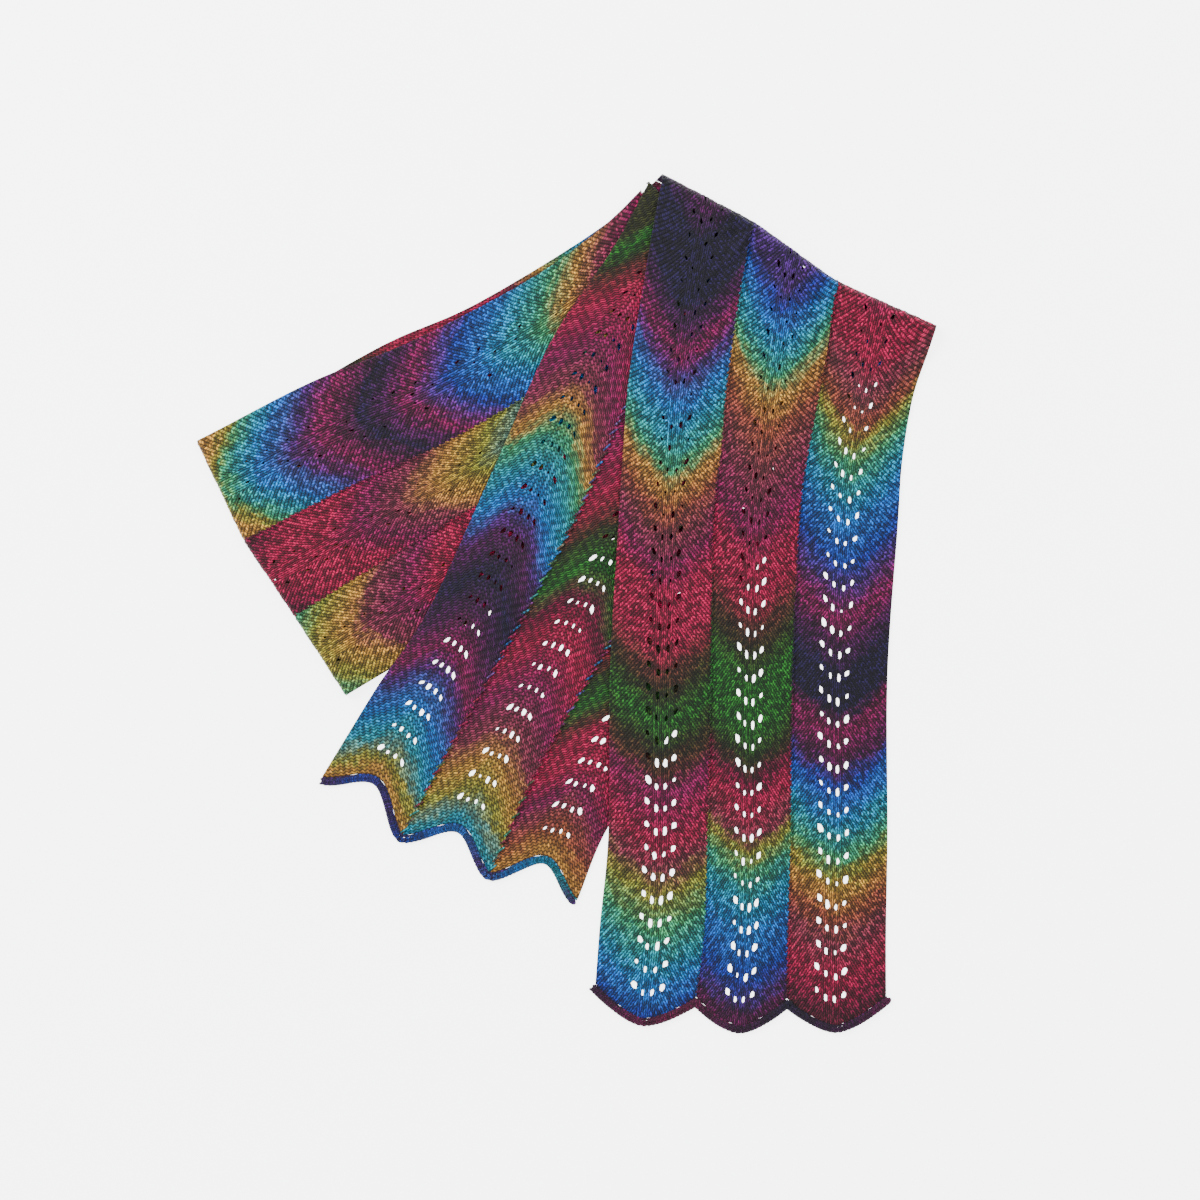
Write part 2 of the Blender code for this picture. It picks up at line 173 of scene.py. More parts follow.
def yarn(name: str, face: Face, text: str) -> YarnFinish:
    """Read a colour run written as 'distance colour, distance colour'."""
    stops = tuple((float(part.split()[0]), part.split()[1]) for part in text.split(","))
    return YarnFinish(name, stops, face)


def spline(points: np.ndarray, samples: int = 10) -> tuple[np.ndarray, np.ndarray]:
    """Smooth curve through points.

    Args:
        points: the points, one a row.
        samples: points made between two given ones.

    Returns:
        The curve's points and each one's place among the given points.
    """
    pts = np.asarray(points, float)
    ext = np.vstack([2 * pts[0] - pts[1], pts, 2 * pts[-1] - pts[-2]])
    out, where = [], []
    for k in range(len(pts) - 1):
        a, b, c, d = ext[k:k + 4]
        for j in range(samples):
            t = j / samples
            out.append(0.5 * (2 * b + (c - a) * t + (2 * a - 5 * b + 4 * c - d) * t * t
                              + (3 * b - a - 3 * c + d) * t ** 3))
            where.append(k + t)
    out.append(pts[-1])
    where.append(len(pts) - 1.0)
    return np.array(out), np.array(where)


def wave(share: float, lobed: bool = False) -> float:
    """Soft V of the lace rows across a strip: 0 at the seams, 1 between."""
    if lobed:
        return max(0.0, math.sin(math.pi * share)) ** 1.4
    return 1.0 - abs(2.0 * share - 1.0) ** 1.5


@dataclass
class Limb:
    """A limb in plan. Columns run along it and u, from 0 to 3, across."""

    table: tuple
    turn: FoldShape | None = None
    turn_end: int = -1
    lobed: bool = False
    lines: np.ndarray = field(init=False)
    bows: np.ndarray = field(init=False)

    def __post_init__(self) -> None:
        self.lines = np.array([row[:4] for row in self.table], float)
        self.bows = np.array([row[4] for row in self.table], float)
        self.edge = self.lines[self.turn_end]

    def column(self, u: float) -> tuple[np.ndarray, np.ndarray, np.ndarray]:
        """Return the column's curve, its running length and the wave's depth."""
        strip = min(2, int(u))
        share = u - strip
        curve, where = spline(self.lines[:, strip] * (1 - share) + self.lines[:, strip + 1] * share)
        steps = np.linalg.norm(np.diff(curve, axis=0), axis=1)
        length = np.concatenate([[0.0], np.cumsum(steps)])
        return curve, length, np.interp(where, np.arange(len(self.bows)), self.bows)

    def edge_point(self, u: float) -> np.ndarray:
        """Point of the fold's outer line at u, eased at the seams."""
        reach = min(0.1, u, 3 - u)
        where = np.arange(4)
        spots = [
            [np.interp(u + k * reach, where, self.edge[:, i]) for i in (0, 1)]
            for k in (-1, 0, 1)
        ]
        return np.mean(spots, axis=0)

    def turn_frame(self, u: float) -> tuple:
        """Return start point, outward normal, tangent, slant and radius at u."""
        ahead, behind = self.edge_point(min(3, u + 0.2)), self.edge_point(max(0, u - 0.2))
        tangent = (ahead - behind) / np.linalg.norm(ahead - behind)
        normal = np.array([-tangent[1], tangent[0]])
        curve, _, _ = self.column(u)
        way = curve[-1] - curve[-8] if self.turn_end == -1 else curve[0] - curve[7]
        if way @ normal < 0:
            normal = -normal
        slant = (way @ tangent) / (way @ normal)
        radius = self.turn.radii[0] + (self.turn.radii[1] - self.turn.radii[0]) * u / 3
        middle = radius - WALL / 2
        start = self.edge_point(u) - normal * radius - tangent * slant * middle * math.pi / 2
        return start, normal, tangent, slant, radius


class Heights:
    """Top of one solid as a height grid, with its holes filled; its underside is sampled but not kept."""

    def __init__(self, node: bpy.types.Object, cell: float = 2.0) -> None:
        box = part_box(node.name)
        self.low = np.array([box[0][0], box[0][1]]) / MM - 4
        high = np.array([box[1][0], box[1][1]]) / MM + 4
        self.cell = cell
        count = np.ceil((high - self.low) / cell).astype(int) + 1
        mesh = node.data
        tree = BVHTree.FromPolygons(
            [v.co for v in mesh.vertices], [tuple(p.vertices) for p in mesh.polygons]
        )
        top = np.full(count, np.nan)
        under = np.full(count, np.nan)
        for i in range(count[0]):
            for j in range(count[1]):
                x, y = (self.low + np.array([i, j]) * cell) * MM
                hit = tree.ray_cast(Vector((x, y, 1.0)), Vector((0, 0, -1)))
                if hit[0] is None or hit[1].z < 0.5:
                    continue
                top[i, j] = hit[0].z / MM
                below = tree.ray_cast(Vector((x, y, hit[0].z - 1e-5)), Vector((0, 0, -1)))
                under[i, j] = below[0].z / MM if below[0] is not None else top[i, j] - WALL
        self.top = self.filled(top)

    @staticmethod
    def filled(grid: np.ndarray) -> np.ndarray:
        """Fill the cells without a value from their neighbours."""
        grid = grid.copy()
        for _ in range(60):
            empty = np.isnan(grid)
            if not empty.any():
                break
            total = np.zeros(grid.shape)
            count = np.zeros(grid.shape)
            for axis in (0, 1):
                for step in (-1, 1):
                    moved = np.roll(grid, step, axis)
                    known = ~np.isnan(moved)
                    total[known] += moved[known]
                    count[known] += 1
            fill = empty & (count > 0)
            grid[fill] = total[fill] / count[fill]
        return np.nan_to_num(grid, nan=WALL)

    def at(self, xy: np.ndarray) -> np.ndarray:
        """Top height at many points."""
        place = np.clip((xy - self.low) / self.cell, 0, np.array(self.top.shape) - 1.001)
        low = place.astype(int)
        f = place - low
        i, j = low[..., 0], low[..., 1]
        fx, fy = f[..., 0], f[..., 1]
        return (self.top[i, j] * (1 - fx) * (1 - fy) + self.top[i + 1, j] * fx * (1 - fy)
                + self.top[i, j + 1] * (1 - fx) * fy + self.top[i + 1, j + 1] * fx * fy)


def drifted(wale: np.ndarray, row: np.ndarray, centre: float, drift: float) -> np.ndarray:
    """Wale counted along the stitches, which fan out from the eyelets."""
    away = wale - centre * WALES
    return wale + np.sign(away) * (np.abs(away) > CORE) * row * drift


def stitch_relief(face: Face, wale: np.ndarray, row: np.ndarray) -> np.ndarray:
    """Height of the yarn over its row and wale, 0 to 1."""
    across = np.abs(wale - np.floor(wale) - 0.5)
    if face is Face.KNIT:
        leg = np.sin(2 * np.pi * np.clip(across, 0.02, 0.48)) ** 0.7
        return leg * (0.55 + 0.45 * np.abs(np.sin(np.pi * (row - 1.3 * across))))
    bump = np.abs(np.sin(np.pi * (row + 0.16 * np.sin(2 * np.pi * wale)))) ** 0.8
    return bump * (0.7 + 0.3 * np.cos(2 * np.pi * wale))


def noise(*seeds: np.ndarray) -> np.ndarray:
    """Repeatable value from 0 to 1 for whole-numbered seeds."""
    total = sum(np.asarray(s, float) * k for s, k in zip(seeds, (12.9898, 78.233, 37.719)))
    value = np.sin(total) * 43758.5453
    return value - np.floor(value)


class StripBuilder:
    """Makes one strip's sheet of stitches."""

    def __init__(self, plan: StripPlan, limb: Limb, across: int = 3, along: int = 2) -> None:
        self.plan = plan
        self.limb = limb
        self.across = across
        self.along = along

    def columns(self) -> tuple[np.ndarray, np.ndarray]:
        """Return each lattice column's wale count and its u value."""
        wale = np.arange(WALES * self.across + 1) / self.across
        share = np.clip(wale / WALES, 0.0, 1.0)
        return wale, self.plan.index + share

    def lay(self) -> tuple:
        """Place the lattice in space: centre points, thickness ways and a mask."""
        wale, us = self.columns()
        limb = self.limb
        start_turn = limb.turn is not None and limb.turn_end == 0
        end_turn = limb.turn is not None and limb.turn_end == -1
        longest = max(limb.column(u)[1][-1] for u in (self.plan.index, self.plan.index + 1 - 1e-6))
        rows = int((longest + 90) / ROW) * self.along
        low_row = -int(24 / ROW) * self.along if start_turn else 0
        w = np.arange(low_row, rows + 1) * ROW / self.along
        heights = Heights(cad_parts[self.plan.node])
        points = np.zeros((len(us), len(w), 3))
        ways = np.zeros((len(us), len(w), 3))
        inside = np.ones((len(us), len(w)), bool)
        for i, u in enumerate(us):
            share = u - self.plan.index
            curve, length, bow = limb.column(u)
            s = w.copy()
            for _ in range(5):
                s = w - np.interp(s, length, bow) * wave(share, limb.lobed)
            xy = np.stack([np.interp(s, length, curve[:, k]) for k in (0, 1)], axis=1)
            lead = curve[1] - curve[0]
            early = np.minimum(s, 0.0)[:, None] * (lead / np.linalg.norm(lead))
            xy = xy + early
            way = np.zeros((len(w), 3))
            way[:, 2] = 1.0
            z = heights.at(xy + SHIFT) - WALL / 2
            keep = np.ones(len(w), bool)
            if limb.turn is not None:
                start, normal, tangent, slant, radius = limb.turn_frame(u)
                middle = radius - WALL / 2
                nearest = np.argmin(np.linalg.norm(curve - start, axis=1))
                at = length[nearest] + (start - curve[nearest]) @ (
                    (curve[1] - curve[0]) if start_turn else (curve[-1] - curve[-2])
                ) / np.linalg.norm((curve[1] - curve[0]) if start_turn else (curve[-1] - curve[-2]))
                past = (s - at) if end_turn else (at - s)
                angle = np.clip(past / middle / math.sqrt(1 + slant * slant), 0, math.pi)
                keep &= past / middle / math.sqrt(1 + slant * slant) <= math.pi + 0.25
                turned = past > 0
                blend = np.clip(1 + past / 6.0, 0, 1)[:, None]
                base = start[None, :] + tangent * slant * middle * angle[:, None]
                round_xy = base + normal * middle * np.sin(angle)[:, None]
                xy = np.where(turned[:, None], round_xy, xy + (start - self.near(curve, length, at)) * blend)
                z = np.where(turned, limb.turn.base + radius + middle * np.cos(angle), z)
                ring = np.stack([normal[0] * np.sin(angle), normal[1] * np.sin(angle), np.cos(angle)], axis=1)
                way = np.where(turned[:, None], ring, way)
                if start_turn:
                    keep &= s <= length[-1] - 7.0
            keep &= s >= -60
            points[i, :, :2] = xy + SHIFT
            points[i, :, 2] = z
            ways[i] = way
            inside[i] = keep
        return wale, w, points, ways, inside

    @staticmethod
    def near(curve: np.ndarray, length: np.ndarray, at: float) -> np.ndarray:
        """Point of a curve at a running length."""
        return np.array([np.interp(at, length, curve[:, k]) for k in (0, 1)])

    def eyelets(self, wale: np.ndarray, w: np.ndarray) -> tuple[np.ndarray, np.ndarray, np.ndarray]:
        """Distance field of the nearest eyelet, with moves onto its rim."""
        x = (wale / WALES)[:, None] * STRIP_WIDTH + np.zeros(len(w))[None, :]
        y = np.zeros(len(wale))[:, None] + w[None, :]
        best = np.full(x.shape, 9.0)
        move_x, move_y = np.zeros(x.shape), np.zeros(x.shape)
        for number, (side, offset, drop, half_x, half_y) in enumerate((
            (-1, EYE_OFFSET, 0.0, 2.0, 3.0), (1, EYE_OFFSET, 0.0, 2.0, 3.0),
            (-1, SLIT_OFFSET, -2.4, 1.45, 3.7), (1, SLIT_OFFSET, -2.4, 1.45, 3.7),
        )):
            cx = (self.plan.centre + side * offset) * STRIP_WIDTH
            repeat = np.round((y - 3.2 - drop) / REPEAT)
            size = self.plan.eye_size * (0.66 + 0.5 * noise(repeat, number, self.plan.index))
            size = size * np.interp(y, (250, 450), (1.0, 0.68))
            cx = cx + 0.9 * (noise(repeat, number + 7, 3) - 0.5)
            cy = repeat * REPEAT + 3.2 + drop + 1.0 * (noise(repeat, number + 3, 5) - 0.5)
            a, b = half_x * size, half_y * size * (0.72 if self.plan.finish.face is Face.PURL else 1.0)
            dx, dy = (x - cx) / a, (y - cy) / b
            d = np.sqrt(dx * dx + dy * dy)
            closer = (d < best) & (repeat > 0)
            best = np.where(closer, d, best)
            rim = 1 / np.maximum(d, 0.2)
            move_x = np.where(closer & (d < 1), (rim - 1) * (x - cx), np.where(closer, 0, move_x))
            move_y = np.where(closer & (d < 1), (rim - 1) * (y - cy), np.where(closer, 0, move_y))
        return best, move_x, move_y

    def build(self) -> bpy.types.Object:
        """Make the mesh object of the strip."""
        wale, w, points, ways, inside = self.lay()
        best, move_x, move_y = self.eyelets(wale, w)
        row = w / ROW
        ci, cj = len(wale), len(w)
        d_u = np.gradient(points, axis=0) / (STRIP_WIDTH / (ci - 1))
        d_w = np.gradient(points, axis=1) / (ROW / self.along)
        points = points + d_u * move_x[..., None] + d_w * move_y[..., None]
        centre_best = (best[:-1, :-1] + best[1:, :-1] + best[:-1, 1:] + best[1:, 1:]) / 4
        cells = inside[:-1, :-1] & inside[1:, :-1] & inside[:-1, 1:] & inside[1:, 1:]
        cells &= centre_best > 0.98
        lean = drifted(wale[:, None], row[None, :], self.plan.centre, self.plan.drift)
        relief = stitch_relief(self.plan.finish.face, lean, row[None, :] + 0 * lean)
        rim = np.clip((1.35 - best) / 0.35, 0, 1)
        relief = np.maximum(relief, rim * 0.8)
        relief *= 0.8 + 0.4 * noise(np.floor(lean), np.floor(row)[None, :] + 0 * lean, 1)
        arch = np.sin(np.pi * np.clip(wale / WALES, 0, 1))[:, None]
        swell = 0.28 * arch * np.sin(2 * np.pi * w / REPEAT)[None, :]
        top = points + ways * (0.30 + 0.62 * relief + swell * 0.5)[..., None]
        low = points - ways * (0.45 + 0.40 * relief)[..., None]
        low[..., 2] = np.maximum(low[..., 2], 0.05)
        index = np.arange(ci * cj).reshape(ci, cj)
        a, b = index[:-1, :-1][cells], index[1:, :-1][cells]
        c, d = index[1:, 1:][cells], index[:-1, 1:][cells]
        flat = np.stack([a, b, c, d], axis=1)
        sample = top.reshape(-1, 3)[flat[len(flat) // 3]]
        turn = np.cross(sample[1] - sample[0], sample[2] - sample[0])[2]
        if turn < 0:
            flat = flat[:, ::-1]
        count = ci * cj
        half = np.concatenate([flat[:, [0, 1]], flat[:, [1, 2]], flat[:, [2, 3]], flat[:, [3, 0]]])
        key = half[:, 0] * count + half[:, 1]
        back_key = half[:, 1] * count + half[:, 0]
        border = half[~np.isin(key, back_key)]
        walls = np.stack([border[:, 1], border[:, 0], border[:, 0] + count, border[:, 1] + count], axis=1)
        faces = np.concatenate([flat, flat[:, ::-1] + count, walls])
        verts = np.concatenate([top.reshape(-1, 3), low.reshape(-1, 3)]) * MM
        lattice = np.stack(np.broadcast_arrays(wale[:, None], row[None, :]), axis=-1).reshape(-1, 2)
        lattice = np.concatenate([lattice, lattice])
        used, faces = np.unique(faces, return_inverse=True)
        return make_mesh(self.plan.node + "_stitches", verts[used], faces.reshape(-1, 4), lattice[used])


def make_mesh(name: str, verts: np.ndarray, quads: np.ndarray, lattice: np.ndarray) -> bpy.types.Object:
    """Make a mesh object of quads with its stitch coordinates.

    Args:
        name: the object's name.
        verts: points in metres.
        quads: four point numbers a face.
        lattice: wale and row of each point.

    Returns:
        The new object.
    """
    mesh = bpy.data.meshes.new(name)
    mesh.vertices.add(len(verts))
    mesh.vertices.foreach_set("co", verts.astype(np.float32).ravel())
    mesh.loops.add(quads.size)
    mesh.loops.foreach_set("vertex_index", quads.astype(np.int32).ravel())
    mesh.polygons.add(len(quads))
    mesh.polygons.foreach_set("loop_start", np.arange(0, quads.size, 4, dtype=np.int32))
    mesh.update(calc_edges=True)
    mesh.validate()
    mesh.polygons.foreach_set("use_smooth", np.ones(len(mesh.polygons), bool))
    data = mesh.attributes.new("stitch", "FLOAT_VECTOR", "POINT")
    places = np.column_stack([lattice, np.zeros(len(lattice))])
    data.data.foreach_set("vector", places.astype(np.float32).ravel())
    obj = bpy.data.objects.new(name, mesh)
    bpy.context.scene.collection.objects.link(obj)
    return obj


class Nodes:
    """Short way to lay shader nodes in a tree."""

    def __init__(self, tree: bpy.types.NodeTree) -> None:
        self.tree = tree

    def add(self, kind: str, **values) -> bpy.types.Node:
        """Add a node and set its properties."""
        node = self.tree.nodes.new(kind)
        for key, value in values.items():
            setattr(node, key, value)
        return node

    def math(self, operation: str, a, b=None, c=None) -> bpy.types.NodeSocket:
        """Add a Math node fed by sockets or numbers and return its output."""
        node = self.add("ShaderNodeMath", operation=operation)
        for slot, value in enumerate((a, b, c)):
            if value is None:
                continue
            if isinstance(value, (int, float)):
                node.inputs[slot].default_value = value
            else:
                self.tree.links.new(value, node.inputs[slot])
        return node.outputs[0]

    def link(self, a, b) -> None:
        """Join two sockets."""
        self.tree.links.new(a, b)


def leaned(lay: Nodes, wale, row, centre, drift):
    """Socket of the wale counted along the fanned stitches, see drifted."""
    away = lay.math("SUBTRACT", wale, centre)
    far = lay.math("GREATER_THAN", lay.math("ABSOLUTE", away), CORE)
    lean = lay.math("MULTIPLY", lay.math("MULTIPLY", lay.math("SIGN", away), far), drift)
    return lay.math("ADD", wale, lay.math("MULTIPLY", lean, row))


def stitch_group(face: Face) -> bpy.types.NodeTree:
    """Node group that draws the stitches: colour in, Base Color and Height out. The Base Color has painted
    shade in the gaps between strands and painted highlights on their crests.
    """
    tree = bpy.data.node_groups.new("stitches_" + face.value, "ShaderNodeTree")
    tree.interface.new_socket("Colour", in_out="INPUT", socket_type="NodeSocketColor")
    tree.interface.new_socket("Centre", in_out="INPUT", socket_type="NodeSocketFloat")
    tree.interface.new_socket("Drift", in_out="INPUT", socket_type="NodeSocketFloat")
    tree.interface.new_socket("Base Color", in_out="OUTPUT", socket_type="NodeSocketColor")
    tree.interface.new_socket("Height", in_out="OUTPUT", socket_type="NodeSocketFloat")
    lay = Nodes(tree)
    source = lay.add("NodeGroupInput")
    sink = lay.add("NodeGroupOutput")
    place = lay.add("ShaderNodeAttribute", attribute_name="stitch")
    split = lay.add("ShaderNodeSeparateXYZ")
    lay.link(place.outputs["Vector"], split.inputs[0])
    row = split.outputs[1]
    wale = leaned(lay, split.outputs[0], row, source.outputs["Centre"], source.outputs["Drift"])
    if face is Face.KNIT:
        across = lay.math("ABSOLUTE", lay.math("SUBTRACT", lay.math("FRACT", wale), 0.5))
        turn = lay.math("SINE", lay.math("MULTIPLY", across, 6.2832))
        leg = lay.math("POWER", lay.math("ABSOLUTE", turn), 0.9)
        slope = lay.math("SUBTRACT", row, lay.math("MULTIPLY", across, 1.5))
        turn = lay.math("SINE", lay.math("MULTIPLY", slope, 3.1416))
        cut = lay.math("POWER", lay.math("ABSOLUTE", turn), 0.7)
        height = lay.math("MULTIPLY", leg, lay.math("MULTIPLY_ADD", cut, 0.75, 0.25))
        strand, course = lay.math("MULTIPLY", wale, 2.0), slope
    else:
        bend = lay.math("MULTIPLY", lay.math("SINE", lay.math("MULTIPLY", wale, 6.2832)), 0.24)
        turn = lay.math("SINE", lay.math("MULTIPLY", lay.math("ADD", row, bend), 3.1416))
        bars = lay.math("ABSOLUTE", turn)
        swell = lay.math("MULTIPLY_ADD", lay.math("COSINE", lay.math("MULTIPLY", wale, 6.2832)), 0.3, 0.7)
        height = lay.math("MULTIPLY", lay.math("POWER", bars, 0.9), swell)
        strand, course = lay.math("MULTIPLY", wale, 1.5), lay.math("ADD", row, bend)
    cell = lay.add("ShaderNodeCombineXYZ")
    lay.link(lay.math("FLOOR", strand), cell.inputs[0])
    lay.link(lay.math("FLOOR", course), cell.inputs[1])
    speck = lay.add("ShaderNodeTexWhiteNoise", noise_dimensions="3D")
    lay.link(cell.outputs[0], speck.inputs["Vector"])
    fuzz_at = lay.add("ShaderNodeTexCoord")
    fuzz = lay.add("ShaderNodeTexNoise")
    fuzz.inputs["Scale"].default_value = 1400.0
    fuzz.inputs["Detail"].default_value = 3.0
    lay.link(fuzz_at.outputs["Object"], fuzz.inputs["Vector"])
    # Painted shade and painted highlight: by the yarn's height the colour goes near black in the gaps between
    # strands and up to about twice as bright on the crests.
    shade = lay.math("MULTIPLY_ADD", height, 1.9, 0.02)
    # Random brightness per strand, 0.3 to 2.4 times on the knit face and 0.5 to 2.0 on the purl face: partly
    # the yarn's random tone, partly painted highlights that turn some strands nearly white.
    lit = lay.math("POWER", speck.outputs["Value"], 2.0)
    gain, least = (2.1, 0.3) if face is Face.KNIT else (1.5, 0.5)
    shade = lay.math("MULTIPLY", shade, lay.math("MULTIPLY_ADD", lit, gain, least))
    shade = lay.math("MULTIPLY", shade, lay.math("MULTIPLY_ADD", fuzz.outputs["Fac"], 0.5, 0.75))
    painted_light_grey = lay.add("ShaderNodeCombineColor")
    for slot in range(3):
        lay.link(shade, painted_light_grey.inputs[slot])
    mix = lay.add("ShaderNodeMix", data_type="RGBA", blend_type="MULTIPLY")
    mix.inputs["Factor"].default_value = 1.0
    lay.link(source.outputs["Colour"], mix.inputs[6])
    lay.link(painted_light_grey.outputs[0], mix.inputs[7])
    lay.link(mix.outputs[2], sink.inputs["Base Color"])
    lay.link(lay.math("ADD", height, lay.math("MULTIPLY", fuzz.outputs["Fac"], 0.35)), sink.inputs["Height"])
    return tree


class YarnShop:
    """Makes the yarn materials, with one stitch group for each face."""

    def __init__(self) -> None:
        self.groups = {face: stitch_group(face) for face in Face}

    def make(self, finish: YarnFinish, centre: float = 0.5, drift: float = 0.0) -> bpy.types.Material:
        """Material of one striped yarn, with its stitches' fan."""
        material = bpy.data.materials.new("yarn_" + finish.name)
        material.use_nodes = True
        lay = Nodes(material.node_tree)
        shader = material.node_tree.nodes["Principled BSDF"]
        shader.inputs["Roughness"].default_value = 0.78
        shader.inputs["Specular IOR Level"].default_value = 0.25
        shader.inputs["Sheen Weight"].default_value = 0.05
        shader.inputs["Sheen Roughness"].default_value = 0.5
        place = lay.add("ShaderNodeAttribute", attribute_name="stitch")
        split = lay.add("ShaderNodeSeparateXYZ")
        lay.link(place.outputs["Vector"], split.inputs[0])
        wale, row = split.outputs[0], split.outputs[1]
        cell = lay.add("ShaderNodeCombineXYZ")
        lean = leaned(lay, wale, row, centre * WALES, drift)
        lay.link(lay.math("FLOOR", lean), cell.inputs[0])
        lay.link(lay.math("FLOOR", row), cell.inputs[1])
        cell.inputs[2].default_value = 4.0
        speck = lay.add("ShaderNodeTexWhiteNoise", noise_dimensions="3D")
        lay.link(cell.outputs[0], speck.inputs["Vector"])
        wander = lay.add("ShaderNodeTexNoise")
        wander.inputs["Scale"].default_value = 0.22
        wander.inputs["Detail"].default_value = 2.0
        lay.link(place.outputs["Vector"], wander.inputs["Vector"])
        run = lay.math("ADD", row, lay.math("MULTIPLY_ADD", speck.outputs["Value"], 2.4, -1.2))
        run = lay.math("ADD", run, lay.math("MULTIPLY_ADD", wander.outputs["Fac"], 7.0, -3.5))
        low, high = finish.stops[0][0], finish.stops[-1][0]
        share = lay.math("DIVIDE", lay.math("SUBTRACT", lay.math("MULTIPLY", run, ROW), low), high - low)
        ramp = lay.add("ShaderNodeValToRGB")
        lay.link(share, ramp.inputs["Fac"])
        points = ramp.color_ramp.elements
        points[0].position, points[0].color = 0.0, dyed(finish.stops[0][1])
        points[1].position, points[1].color = 1.0, dyed(finish.stops[-1][1])
        for distance, colour in finish.stops[1:-1]:
            point = points.new((distance - low) / (high - low))
            point.color = dyed(colour)
        group = lay.add("ShaderNodeGroup", node_tree=self.groups[finish.face])
        group.inputs["Centre"].default_value = centre * WALES
        group.inputs["Drift"].default_value = drift
        lay.link(ramp.outputs["Color"], group.inputs["Colour"])
        lay.link(group.outputs["Base Color"], shader.inputs["Base Color"])
        bump = lay.add("ShaderNodeBump")
        bump.inputs["Strength"].default_value = 0.9
        bump.inputs["Distance"].default_value = 0.0009
        lay.link(group.outputs["Height"], bump.inputs["Height"])
        lay.link(bump.outputs["Normal"], shader.inputs["Normal"])
        return material


def strands(name: str, paths: list, sizes: list, colours: list, sides: int = 6) -> bpy.types.Object:
    """Many short tapered yarn strands in one mesh.

    Args:
        name: the object's name.
        paths: arrays of points in mm, one for each strand.
        sizes: each strand's radius in mm.
        colours: the stitch row that colours each strand.
        sides: sides of the yarn's section.

    Returns:
        The new object.
    """
    verts, quads, lattice = [], [], []
    for path, colour, radius in zip(paths, colours, sizes):
        path = np.asarray(path, float)
        ways = np.gradient(path, axis=0)
        ways /= np.linalg.norm(ways, axis=1)[:, None]
        side = np.cross(ways, (0, 0, 1.0))
        side /= np.maximum(np.linalg.norm(side, axis=1), 1e-6)[:, None]
        up = np.cross(side, ways)
        first = len(verts)
        for k, point in enumerate(path):
            t = k / (len(path) - 1)
            size = radius * math.sin(math.pi * (0.08 + 0.84 * t)) ** 0.35
            for j in range(sides):
                angle = 2 * math.pi * j / sides
                verts.append(point + (side[k] * math.cos(angle) + up[k] * math.sin(angle)) * size)
                lattice.append((k * 0.5, colour))
        for k in range(len(path) - 1):
            for j in range(sides):
                a = first + k * sides + j
                b = first + k * sides + (j + 1) % sides
                quads.append((a, b, b + sides, a + sides))
        for k in (0, len(path) - 1):
            ring = [first + k * sides + j for j in range(sides)]
            for j in range(0, sides - 2, 2):
                quads.append((ring[0], ring[j + 1], ring[j + 2], ring[(j + 3) % sides]))
    verts = np.array(verts) * MM
    verts[:, 2] = np.maximum(verts[:, 2], 0.00005)
    return make_mesh(name, verts, np.array(quads), np.array(lattice, float))


class HemEdging:
    """Crocheted chain round a hem, with its sizes in mm."""

    pitch = 2.7
    loop_length = 4.4
    loop_lanes = ((5.2, 3.5), (1.6, 3.1))           # each loop's start and end, out from the hem
    core_strands = ((3.3, 1.45, 1.4), (4.8, 1.15, 1.05), (0.9, 1.15, 1.1))   # out, height, radius
    core_run = 8                                    # chain steps in one length of core strand

    def __init__(self, node: str, limb: Limb, out: int) -> None:
        self.node, self.limb, self.out = node, limb, out

    def line(self) -> np.ndarray:
        """Hem line in plan, evenly spaced."""
        pts = []
        for u in np.linspace(0, 3, 121):
            share = u - min(2, int(u))
            curve, length, bow = self.limb.column(min(u, 2.9999))
            s = 0.0
            for _ in range(5):
                s = -float(np.interp(s, length, bow)) * wave(share, self.limb.lobed)
            lead = (curve[1] - curve[0]) / np.linalg.norm(curve[1] - curve[0])
            if s < 0:
                pts.append(curve[0] + lead * s)
            else:
                pts.append(np.array([np.interp(s, length, curve[:, k]) for k in (0, 1)]))
        pts = np.array(pts)
        steps = np.concatenate([[0], np.cumsum(np.linalg.norm(np.diff(pts, axis=0), axis=1))])
        count = int(steps[-1] / self.pitch)
        even = np.linspace(0, steps[-1], count)
        return np.stack([np.interp(even, steps, pts[:, k]) for k in (0, 1)], axis=1)

    def build(self) -> bpy.types.Object:
        """Two interlocked rows of chain loops over a round core."""
        line = self.line() + SHIFT
        way = np.gradient(line, axis=0)
        way /= np.linalg.norm(way, axis=1)[:, None]
        out = np.stack([way[:, 1], -way[:, 0]], axis=1) * self.out
        paths, rows, sizes = [], [], []
        for k in range(len(line) - 1):
            for far, near in self.loop_lanes:
                pts = []
                for t in np.linspace(0, 1, 6):
                    spot = line[k] + way[k] * (self.loop_length * t - 0.6) + out[k] * (far + (near - far) * t)
                    pts.append((spot[0], spot[1], 1.5 + 0.9 * math.sin(math.pi * (0.15 + 0.7 * t))))
                paths.append(pts)
                rows.append(k * self.pitch / ROW)
                sizes.append(1.05)
        for offset, height, size in self.core_strands:
            for k in range(0, len(line) - 1, self.core_run):
                stop = min(len(line), k + self.core_run + 1)
                paths.append([(*(line[m] + out[m] * offset), height) for m in range(k, stop)])
                rows.append(k * self.pitch / ROW)
                sizes.append(size)
        return strands(self.node + "_chain", paths, sizes, rows)


@dataclass(frozen=True)
class Sewn:
    """How a seam is sewn: step along it and reach across it in mm."""

    step: float
    reach: float
    along: float
    radius: float


SEAM_LENGTH = {"back": 430.0, "front": 560.0, "side": 390.0}
SEWN = {
    "back": Sewn(step=5.6, reach=1.2, along=3.0, radius=0.66),
    "front": Sewn(step=4.0, reach=0.5, along=1.6, radius=0.5),
    "side": Sewn(step=4.0, reach=0.5, along=1.6, radius=0.5),
}


